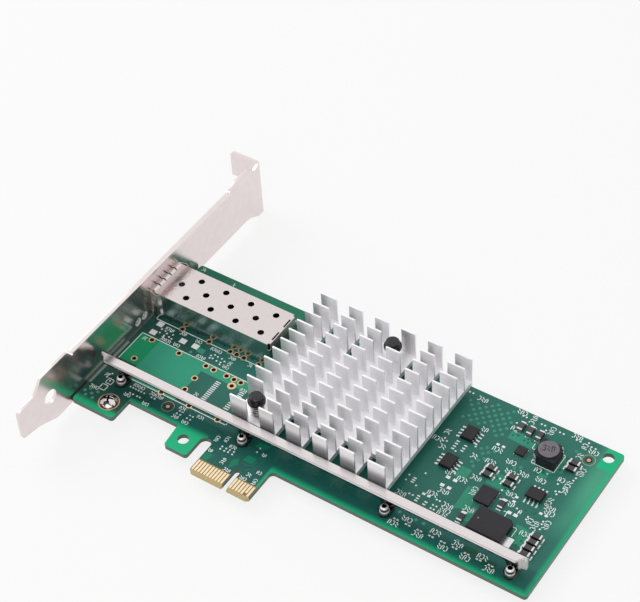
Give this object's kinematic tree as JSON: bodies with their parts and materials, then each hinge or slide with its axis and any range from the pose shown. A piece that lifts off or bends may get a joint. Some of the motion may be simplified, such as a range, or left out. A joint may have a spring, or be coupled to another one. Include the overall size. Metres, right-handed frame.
{
  "type": "network interface card",
  "caption": "server expansion card: green circuit board with an optical module cage behind a folded bracket, a finned heat sink on spring pins and a folded stiffening rail",
  "frame": {"origin": "centre of the key notch of the card edge connector, on its lower edge, at the height of the component face", "axes": "+X along the card away from the bracket, +Y from the edge connector towards the card's top edge, +Z out of the component face"},
  "size_m": [0.1598, 0.121, 0.0227],
  "materials": {
    "board_green": "satin solder mask over glass fibre, brighter green at the bare rim",
    "contact_gold": "flat gold plating",
    "bracket_nickel": "bright nickel over steel, almost a mirror",
    "screw_steel": "bright plated steel",
    "cage_nickel": "smooth nickel silver sheet",
    "collar_nickel": "thin plated spring sheet",
    "black_plastic": "moulded",
    "sink_aluminium": "clear anodised, satin",
    "pin_plastic": "moulded nylon",
    "spring_steel": "drawn wire",
    "package_black": "fine moulded grain",
    "pad_rubber": "soft grey pad",
    "rail_nickel": "bright nickel over steel",
    "lead_tin": "bright tin",
    "ferrite": "ground ferrite, lighter on the round top",
    "capacitor_ceramic": "fired ceramic",
    "resistor_ceramic": "glazed top"
  },
  "bodies": {
    "root": {"circuit_board": "board_green", "edge_contacts": "contact_gold", "bracket": "bracket_nickel", "bracket_screw": "screw_steel", "sfp_cage": "cage_nickel", "cage_spring_collar": "collar_nickel", "sfp_host_connector": "black_plastic", "heatsink": "sink_aluminium", "push_pins": "pin_plastic", "push_pin_springs": "spring_steel", "controller_package": "package_black", "thermal_pad": "pad_rubber", "stiffener_rail": "rail_nickel", "rail_screws": "screw_steel", "soic_bodies": "package_black", "soic_leads": "lead_tin", "leadless_packages": "package_black", "leadless_pads": "lead_tin", "power_package": "package_black", "power_package_tab": "lead_tin", "inductor_core": "ferrite", "inductor_terminals": "lead_tin", "capacitor_bodies": "capacitor_ceramic", "capacitor_terminals": "lead_tin", "resistor_bodies": "resistor_ceramic", "resistor_terminals": "lead_tin"}
  },
  "joints": []
}
